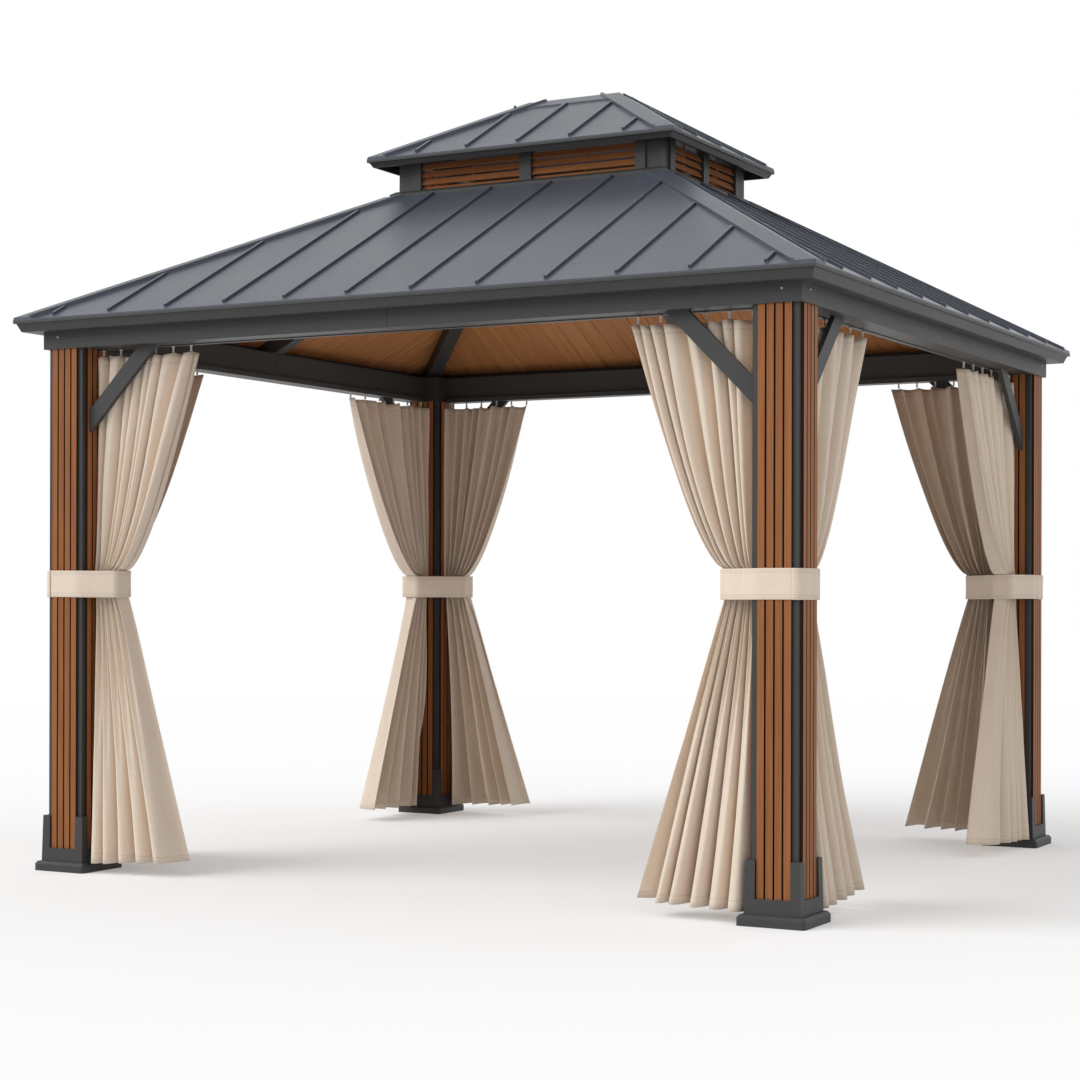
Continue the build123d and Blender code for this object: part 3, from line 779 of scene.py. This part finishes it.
class CurtainShape:
    """Where each part of one tied-back curtain lies, worked out from the frame's boxes."""

    # How far the folds drift to and fro on their way up and down, and how far they lean over
    wander_up, wander_down, lean = 1.6, 1.5, 0.55
    # The rise of the hem away from the post, its wave, and how far it turns out and in
    hem_rise, hem_wave, hem_turn = 0.018, 0.004, 0.018
    # Puckers beside the band, with their number and reach, then the soft and the fine unevenness
    pucker, puckers, pucker_reach = 0.0034, 23, 0.06
    soft_wave, fine_wave = 0.0045, 0.0016
    # The droop between hooks: its depth and reach, then the first hook and the pitch of the hooks as
    # shares of the flat width
    droop, droop_reach, first_hook, hook_pitch = 0.010, 0.045, 0.044, 0.1824

    def __init__(self, wall, other, settings):
        self.outward = SIDES[wall]
        self.inward = -SIDES[other]
        corner = f"{wall}_{other}" if wall in ("front", "back") else f"{other}_{wall}"
        self.post = post_centre(corner)
        low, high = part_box(f"curtain_{wall}_wall_{other}")
        band_low, band_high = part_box(f"tie_band_{corner}")
        self.top, self.hem = high.z, low.z
        self.band_top, self.band_bottom = band_high.z, band_low.z
        self.start, self.far = sorted(abs((p - self.post).dot(self.inward)) for p in (low, high))
        reach = max((p - self.post).dot(self.inward) for p in (band_low, band_high))
        self.tied = reach - BAND_WALL - self.start
        on_side = wall in ("left", "right")
        self.flat = settings.side_flat if on_side else settings.front_flat
        self.hem_width = settings.side_hem if on_side else settings.front_hem
        self.hem_start = settings.hem_start
        self.folds, self.lobes = settings.folds, settings.lobes
        # Faces outward of the post centre line, as (height, room face, outer face)
        self.faces = (
            (self.top, -0.043, 0.020),
            (self.band_top, -0.047, 0.037),
            (self.band_bottom, -0.047, 0.037),
            (self.hem, -0.043, 0.116),
        )
        self.seed = sum(ord(letter) * (i + 1) for i, letter in enumerate(wall + other)) % 97

    def limits(self, z):
        for (z1, a1, b1), (z0, a0, b0) in zip(self.faces, self.faces[1:]):
            if z >= z0 or z0 == self.hem:
                share = min(max((z - z0) / (z1 - z0), 0), 1)
                return a0 + (a1 - a0) * share, b0 + (b1 - b0) * share

    def rough(self, x, y, layer):
        """Smooth noise, with a layer of its own for each use."""
        return noise.noise(Vector((x, y, self.seed * 1.7 + layer)))

    def phase(self, u, count, layer):
        """Fold phase along the flat width, with folds of uneven width."""
        uneven = 0.30 * math.sin(2 * math.pi * (u + self.rough(0.3, layer, 2)))
        uneven += 0.17 * math.sin(2 * math.pi * (2 * u + self.rough(2.7, layer, 5)))
        uneven += 0.10 * math.sin(2 * math.pi * (3 * u + self.rough(5.1, layer, 7)))
        usual_count = 8
        return 2 * math.pi * (count * u + uneven * count / usual_count)

    def upper(self, u, share):
        """Distance along the wall and outward above the band; share is 0 at the band and 1 at the top."""
        z = self.band_top + (self.top - self.band_top) * share
        width = self.tied + (self.far - self.start - self.tied) * share**0.68
        room, face = self.limits(z)
        drift = self.wander_up * self.rough(u * 2.2, z * 1.1, 11) * math.sin(math.pi * share)
        phase = self.phase(u, self.folds, 1.0) + drift
        deep = (face - room) / 2
        strength = 0.95 + 0.45 * self.rough(u * self.folds * 0.6, z * 0.6, 13)
        strength *= 0.85 + 0.15 * share
        broad = 0.42 * math.sin(phase / 2 + 1.1 + self.seed) * math.sin(math.pi * share) ** 0.8
        out = (room + face) / 2 + deep * (strength * fold_shape(phase) + broad)
        lean = self.lean * math.cos(phase) / (2 * math.pi * self.folds)
        return self.start + width * (u - lean * (0.4 + 0.6 * min(1, 4 * share))), out, z

    def lower(self, u, share):
        """Distance along the wall and outward below the band; share is 0 at the band and 1 at the hem."""
        hem = self.hem + self.hem_rise * u**1.3 + self.hem_wave * self.rough(u * 5, 0.4, 17)
        z = self.band_bottom + (hem - self.band_bottom) * share
        width = self.tied + (self.hem_width - self.tied) * share**0.95
        room, face = self.limits(z)
        middle = (room + face) / 2 + share * self.hem_turn * (1 - 2 * u)
        deep = (face - room) / 2
        drift = self.wander_down * self.rough(u * 1.6, z * 1.2, 19) * share
        phase = self.phase(u, self.lobes, 3.0) + drift
        strength = 0.88 + 0.35 * self.rough(u * self.lobes * 0.7, z * 0.5, 23)
        open_share = share**0.45
        out = middle + deep * strength * (0.25 + 0.75 * open_share) * fold_shape(phase)
        out += deep * 0.66 * (1 - open_share) * math.sin(2 * phase + 0.9)
        lean = self.lean * math.cos(phase) / (2 * math.pi * self.lobes)
        run = self.start + self.hem_start * share + width * (u - lean * open_share)
        return run, out, z

    def point(self, u, level):
        """World place of the cloth; levels are 2 at the top, 1 to 0 inside the band, and -1 at the hem."""
        if level >= 1:
            run, out, z = self.upper(u, level - 1)
        elif level <= 0:
            run, out, z = self.lower(u, -level)
        else:
            above, below = self.upper(u, 0), self.lower(u, 0)
            run, out, _ = (b + (a - b) * level for a, b in zip(above, below))
            z = self.band_bottom + (self.band_top - self.band_bottom) * level
        away = min(abs(z - self.band_top), abs(z - self.band_bottom))
        nearness = math.exp(-away / self.pucker_reach)
        beat = u * self.puckers + 0.8 * self.rough(u * 4, 0.5, 29)
        out += self.pucker * nearness * math.sin(2 * math.pi * beat)
        out += self.soft_wave * (1 - nearness) * self.rough(u * 7, z * 1.7, 31)
        out += self.fine_wave * self.rough(u * 30, z * 7, 37)
        room, face = self.limits(z)
        out = held_between(out, room, face)
        hang = math.exp(-(self.top - z) / self.droop_reach)
        between = abs(math.sin(math.pi * (u - self.first_hook) / self.hook_pitch))
        z -= self.droop * hang * between**0.8
        return self.post + self.inward * run + self.outward * out + UP * z

    def levels(self):
        """Levels from the top to the hem, closer together beside the band."""
        steps_up, steps_band, steps_down, crowding = 44, 6, 42, 1.15
        rows = [1 + (1 - i / steps_up) ** crowding for i in range(steps_up)]
        rows += [1 - i / steps_band for i in range(steps_band)]
        return rows + [-((i / steps_down) ** crowding) for i in range(steps_down + 1)]


def build_curtain(wall, other, settings):
    shape = CurtainShape(wall, other, settings)
    columns = 168
    shares = [i / columns for i in range(columns + 1)]
    rows = [[shape.point(u, level) for u in shares] for level in shape.levels()]
    flat_rows = [[(u * shape.flat, point.z - shape.hem) for u, point in zip(shares, row)] for row in rows]
    name = f"cloth_{wall}_wall_{other}"
    mesh = sheet_mesh(name, rows, flat_rows)
    return name, thickened(name, mesh, settings.thickness), shape


# Tie bands


def rounded_path(points, radius, steps):
    """A closed outline with each corner turned into a short arc."""
    path = []
    for i, here in enumerate(points):
        before, after = points[i - 1], points[(i + 1) % len(points)]
        into, out_of = (before - here), (after - here)
        cut = min(radius, into.length * 0.45, out_of.length * 0.45)
        first, last = here + into.normalized() * cut, here + out_of.normalized() * cut
        for step in range(steps + 1):
            t = step / steps
            path.append(first * (1 - t) ** 2 + here * 2 * t * (1 - t) + last * t**2)
    return path


def even_path(points, spacing, closed):
    """Points at an even spacing along a path, with the distance of each."""
    line = points + [points[0]] if closed else points
    lengths = [0.0]
    for a, b in zip(line, line[1:]):
        lengths.append(lengths[-1] + (b - a).length)
    count = max(2, round(lengths[-1] / spacing))
    result, k = [], 0
    for step in range(count + 1):
        want = lengths[-1] * step / count
        while k < len(lengths) - 2 and lengths[k + 1] < want:
            k += 1
        span = max(lengths[k + 1] - lengths[k], 1e-9)
        share = (want - lengths[k]) / span
        result.append((line[k].lerp(line[k + 1], share), want))
    return result


def band_outline(corner):
    """Plan outline of the band's inner face in distances inward of the post centre, from the frame."""
    slat_face = slat_reach(corner)
    low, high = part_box(f"tie_band_{corner}")
    post = post_centre(corner)
    far = max(abs(low.x - post.x), abs(high.x - post.x)) - BAND_WALL
    near, deep = BAND_NEAR, BAND_DEEP
    # Half of the flat run on each slatted face, and the nose at the post's outer corner
    flat = slat_face * 0.7
    nose = slat_face - 0.008
    outline = [
        (-flat, -slat_face), (flat, -slat_face), (far, near), (far, deep), (deep, far),
        (near, far), (-slat_face, flat), (-slat_face, -flat), (-nose, -nose),
    ]
    return post, outline, low.z, high.z


def strap_mesh(name, path, low, high, thickness, seed):
    """A strap that stands on edge along a plan path."""
    count, pull_depth, sag_depth = 14, 0.0016, 0.0025
    rows, flat_rows = [], []
    for row in range(count + 1):
        share = row / count
        z = low + (high - low) * share
        points, flats = [], []
        for place, distance in path:
            pull = noise.noise(Vector((distance * 7, share * 1.5, seed)))
            sag = sag_depth * noise.noise(Vector((distance * 3.1, 0.2, seed + 4)))
            out = place.to_2d().normalized() * (pull_depth * pull)
            points.append(Vector((place.x + out.x, place.y + out.y, z + sag)))
            flats.append((distance, z - low))
        rows.append(points)
        flat_rows.append(flats)
    return thickened(name, sheet_mesh(name, rows, flat_rows), thickness)


def build_band(corner, settings, index):
    post, outline, low, high = band_outline(corner)
    sign = Vector((math.copysign(1, post.x), math.copysign(1, post.y), 0))

    def world(a, b):
        return Vector((post.x - sign.x * a, post.y - sign.y * b, 0))

    step, edge, thickness = 0.008, 0.002, settings.band_thickness
    corner_radius, lap_radius, arc_steps = 0.014, 0.012, 5
    centre = world(*[sum(v) / len(outline) for v in zip(*outline)])
    # The strap's middle lies outside the outline, moved away from its centre and so on a slant
    clearance, slant = 0.0012, 1.3
    growth = (0.5 * thickness + clearance) * slant
    grown = []
    for a, b in outline:
        spot = world(a, b)
        grown.append(spot + (spot - centre).normalized() * growth)
    if sign.x * sign.y < 0:
        grown.reverse()
    loop = even_path(rounded_path(grown, corner_radius, arc_steps), step, True)
    band = strap_mesh(f"band_{corner}", loop, low + edge, high - edge, thickness, index)
    # The free end laps round the post's outer corner
    ends = [world(-0.097, 0.02), world(-0.0905, -0.0905), world(-0.066, -0.098)]
    arc = rounded_path(ends, lap_radius, arc_steps)[arc_steps + 1:2 * (arc_steps + 1)]
    lap = even_path([ends[0]] + arc + [ends[-1]], step, False)
    lap_seed = index + 20
    flap = strap_mesh(f"lap_{corner}", lap, low + edge, high - edge, thickness, lap_seed)
    work = bmesh.new()
    work.from_mesh(band)
    work.from_mesh(flap)
    work.to_mesh(band)
    work.free()
    bpy.data.meshes.remove(flap)
    return band, loop[-1][1], high - low


# Small fittings


def lathe(work, profile, place, axis, sides=12):
    """Turns a profile of (radius, distance along the axis) about an axis."""
    turn = axis.to_track_quat("Z", "Y").to_matrix()
    rings = []
    for radius, lift in profile:
        ring = []
        for step in range(sides):
            angle = 2 * math.pi * step / sides
            local = Vector((radius * math.cos(angle), radius * math.sin(angle), lift))
            ring.append(work.verts.new(place + turn @ local))
        rings.append(ring)
    for lower, upper in zip(rings, rings[1:]):
        for i in range(sides):
            j = (i + 1) % sides
            work.faces.new((lower[i], lower[j], upper[j], upper[i]))
    work.faces.new(list(reversed(rings[0])))
    work.faces.new(rings[-1])


def screw_places():
    """One pan-head screw near each end of each ring beam, on its outer face."""
    low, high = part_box("ring_beam")
    from_corner, above_bottom = 0.072, 0.047
    for side, outward in SIDES.items():
        for end in (-1, 1):
            run = end * (along(side, high) - from_corner)
            place = outward * across(side, high) + lengthwise(side) * run
            yield place + UP * (low.z + above_bottom), outward


def build_screws(work):
    profile = [(0.0055, -0.001), (0.0055, 0.0006), (0.0048, 0.0020), (0.0030, 0.0030), (0.0016, 0.0026)]
    for place, outward in screw_places():
        lathe(work, profile, place, outward)


def build_gliders(work):
    """A slim pale sleeve round each hook, from the rail down to the cloth."""
    rail_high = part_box("curtain_rails")[1]
    sleeve = [
        (0.0040, -0.0245), (0.0052, -0.0225), (0.0040, -0.0190),
        (0.0038, -0.0065), (0.0060, -0.0045), (0.0060, 0.0),
    ]
    for wall, other in curtain_places():
        low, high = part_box(f"curtain_{wall}_wall_{other}")
        far, near = sorted((abs(along(wall, low)), abs(along(wall, high))))
        middle = math.copysign(across(wall, rail_high) - RAIL_HALF, SIDES[wall].x + SIDES[wall].y)
        sign = 1 if along(wall, SIDES[other]) > 0 else -1
        spread = (near - far - 2 * HOOK_INSET) / (HOOKS - 1)
        out_axis = Vector((abs(SIDES[wall].x), abs(SIDES[wall].y), 0))
        run_axis = Vector((out_axis.y, out_axis.x, 0))
        for step in range(HOOKS):
            run = sign * (near - HOOK_INSET - step * spread)
            place = out_axis * middle + run_axis * run
            lathe(work, sleeve, place + UP * (rail_high.z - RAIL_DEPTH), UP, 10)


# Operators


class GAZEBO_OT_metal(Operator):
    """Coat the frame, gutters, roof sheets and caps"""

    bl_idname = "gazebo.metal"
    bl_label = "Coat the metal"

    def execute(self, context):
        settings = context.scene.gazebo_metal
        frame_coat = coated_metal("frame_coat", settings.frame_colour, 0.48, 1.3, settings.orange_peel)
        roof_coat = coated_metal("roof_coat", settings.roof_colour, 0.32, 1.15, settings.orange_peel)
        for entry in frame["nodes"]:
            if entry.startswith(ROOF_NODES):
                dress(entry, roof_coat)
            elif entry.startswith(FRAME_NODES):
                dress(entry, frame_coat)
        return {"FINISHED"}


class GAZEBO_OT_timber(Operator):
    """Finish the post slats and the louvres as wood"""

    bl_idname = "gazebo.timber"
    bl_label = "Finish the slats"

    def execute(self, context):
        settings = context.scene.gazebo_timber
        upright = slat_timber(settings)
        wide = louvre_timber("louvre_timber_wide", settings, "YZX")
        deep = louvre_timber("louvre_timber_deep", settings, "ZXY")
        for corner in CORNERS:
            dress("post_slats_" + corner, upright)
        for side in SIDES:
            dress("louvres_" + side, wide if side in ("front", "back") else deep)
        return {"FINISHED"}


class GAZEBO_OT_ceiling(Operator):
    """Lay the boards of the ceiling, mitred at the hips"""

    bl_idname = "gazebo.ceiling"
    bl_label = "Board the ceiling"

    def execute(self, context):
        settings = context.scene.gazebo_timber
        piece = add_piece("ceiling_planks", build_ceiling(settings), board_timber(settings))
        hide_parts("ceiling_boards")
        return {"FINISHED"}


class GAZEBO_OT_curtains(Operator):
    """Hang the eight gathered curtains"""

    bl_idname = "gazebo.curtains"
    bl_label = "Hang the curtains"

    def execute(self, context):
        settings = context.scene.gazebo_cloth
        material = None
        hem_row = 0.038
        for wall, other in curtain_places():
            name, mesh, shape = build_curtain(wall, other, settings)
            drop = shape.top - shape.hem
            if material is None:
                material = cloth_material("curtain_canvas", settings, drop, (hem_row,))
            piece = add_piece(name, mesh, material, smooth=True)
            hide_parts(f"curtain_{wall}_wall_{other}")
        return {"FINISHED"}


class GAZEBO_OT_bands(Operator):
    """Tie each post's two curtains back with a stitched band"""

    bl_idname = "gazebo.bands"
    bl_label = "Tie the bands"

    def execute(self, context):
        settings = context.scene.gazebo_cloth
        material = None
        both_edges, stitch_rows, lap_length = 0.004, (0.008, 0.015), 0.13
        for index, corner in enumerate(CORNERS):
            mesh, length, height = build_band(corner, settings, index)
            if material is None:
                material = cloth_material("band_canvas", settings, height - both_edges, stitch_rows)
            piece = add_piece("strap_" + corner, mesh, material, smooth=True)
            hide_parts("tie_band_" + corner)
        return {"FINISHED"}


class GAZEBO_OT_fittings(Operator):
    """Add the sleeves of the curtain hooks and the screws of the ring beam"""

    bl_idname = "gazebo.fittings"
    bl_label = "Add the fittings"

    def execute(self, context):
        plastic = moulded_plastic("glider_plastic", (0.50, 0.48, 0.45))
        steel = bare_steel("screw_steel")
        for name, build, finish in (
            ("curtain_gliders", build_gliders, plastic), ("beam_screws", build_screws, steel)
        ):
            add_piece(name, mesh_from(name, build), finish, smooth=True)
        return {"FINISHED"}


class GAZEBO_OT_stage(Operator):
    """Lay the floor, set the lamps and place the camera"""

    bl_idname = "gazebo.stage"
    bl_label = "Set the stage"

    def execute(self, context):
        settings = context.scene.gazebo_stage
        context.scene.view_settings.view_transform = "Standard"
        self.light_world(context.scene, settings)
        self.lay_floor()
        self.hang_lamp("key_lamp", settings.key, (-0.62, -0.60, 0.62), 50)
        self.hang_lamp("fill_lamp", settings.fill, (0.80, -0.30, 0.50), 70)
        self.place_camera(context.scene, settings)
        return {"FINISHED"}

    def light_world(self, scene, settings):
        world = bpy.data.worlds.new("studio")
        scene.world = world
        world.use_nodes = True
        tree = world.node_tree
        ground = tree.nodes["Background"]
        ground.inputs["Color"].default_value = (1, 1, 1, 1)
        seen = rays_of(tree, "Is Camera Ray", "Is Glossy Ray", "Is Transmission Ray")
        level = ranged(tree, seen, 0.0, 1.0, settings.surround, 1.0)
        tree.links.new(level, ground.inputs["Strength"])

    def lay_floor(self):
        radius, sides, paper, lift = 14.0, 96, 0.80, 0.25
        angles = [2 * math.pi * i / sides for i in range(sides)]

        def round_sheet(work):
            work.faces.new([work.verts.new((radius * math.cos(a), radius * math.sin(a), 0)) for a in angles])

        mesh = mesh_from("studio_floor", round_sheet)
        material, tree, shader = start_material("studio_paper", Roughness=1.0, Specular_IOR_Level=0.0)
        shader.inputs["Base Color"].default_value = (paper, paper, paper, 1)
        seen = rays_of(tree, "Is Camera Ray", "Is Glossy Ray")
        glow = put(tree, "Emission", {"Strength": times(tree, seen, lift)})
        both = put(tree, "AddShader", {0: shader.outputs[0], 1: glow.outputs[0]})
        tree.links.new(both.outputs[0], tree.nodes["Material Output"].inputs["Surface"])
        mesh.materials.append(material)
        floor = place_object("studio_floor", mesh)

    def hang_lamp(self, name, energy, towards, spread):
        lamp = bpy.data.lights.new(name, "SUN")
        lamp.energy = energy
        lamp.angle = math.radians(spread)
        direction, distance = Vector(towards).normalized(), 9
        holder = place_object(name, lamp)
        holder.location = direction * distance
        holder.rotation_euler = direction.to_track_quat("Z", "Y").to_euler()

    def place_camera(self, scene, settings):
        data = bpy.data.cameras.new("studio_camera")
        data.lens = settings.lens
        data.sensor_width = 36.0
        data.shift_y = settings.shift
        turn = Matrix.Rotation(settings.heading, 4, "Z") @ Matrix.Rotation(math.pi / 2, 4, "X")
        turn = turn @ Matrix.Rotation(settings.roll, 4, "Z")
        camera = place_object("studio_camera", data)
        camera.matrix_world = Matrix.Translation(settings.place) @ turn
        scene.camera = camera


class GAZEBO_PT_panel(Panel):
    """Lists the steps that dress the gazebo"""

    bl_idname = "GAZEBO_PT_panel"
    bl_label = "Gazebo"
    bl_space_type = "VIEW_3D"
    bl_region_type = "UI"
    bl_category = "Gazebo"

    def draw(self, context):
        for step in STEPS:
            self.layout.operator(step.bl_idname)
        for group in SETTINGS:
            settings = getattr(context.scene, group)
            box = self.layout.box()
            for name in settings.__annotations__:
                box.prop(settings, name)


STEPS = (
    GAZEBO_OT_metal, GAZEBO_OT_timber, GAZEBO_OT_ceiling, GAZEBO_OT_curtains,
    GAZEBO_OT_bands, GAZEBO_OT_fittings, GAZEBO_OT_stage,
)
SETTINGS = {
    "gazebo_metal": MetalSettings,
    "gazebo_timber": TimberSettings,
    "gazebo_cloth": ClothSettings,
    "gazebo_stage": StageSettings,
}


def register():
    for group in SETTINGS.values():
        bpy.utils.register_class(group)
    for step in STEPS:
        bpy.utils.register_class(step)
    bpy.utils.register_class(GAZEBO_PT_panel)
    for name, group in SETTINGS.items():
        setattr(bpy.types.Scene, name, PointerProperty(type=group))


def unregister():
    for name in SETTINGS:
        delattr(bpy.types.Scene, name)
    bpy.utils.unregister_class(GAZEBO_PT_panel)
    for step in reversed(STEPS):
        bpy.utils.unregister_class(step)
    for group in reversed(list(SETTINGS.values())):
        bpy.utils.unregister_class(group)


def main():
    register()
    bpy.ops.gazebo.metal()
    bpy.ops.gazebo.timber()
    bpy.ops.gazebo.ceiling()
    bpy.ops.gazebo.curtains()
    bpy.ops.gazebo.bands()
    bpy.ops.gazebo.fittings()
    bpy.ops.gazebo.stage()


if __name__ == "__main__":
    main()
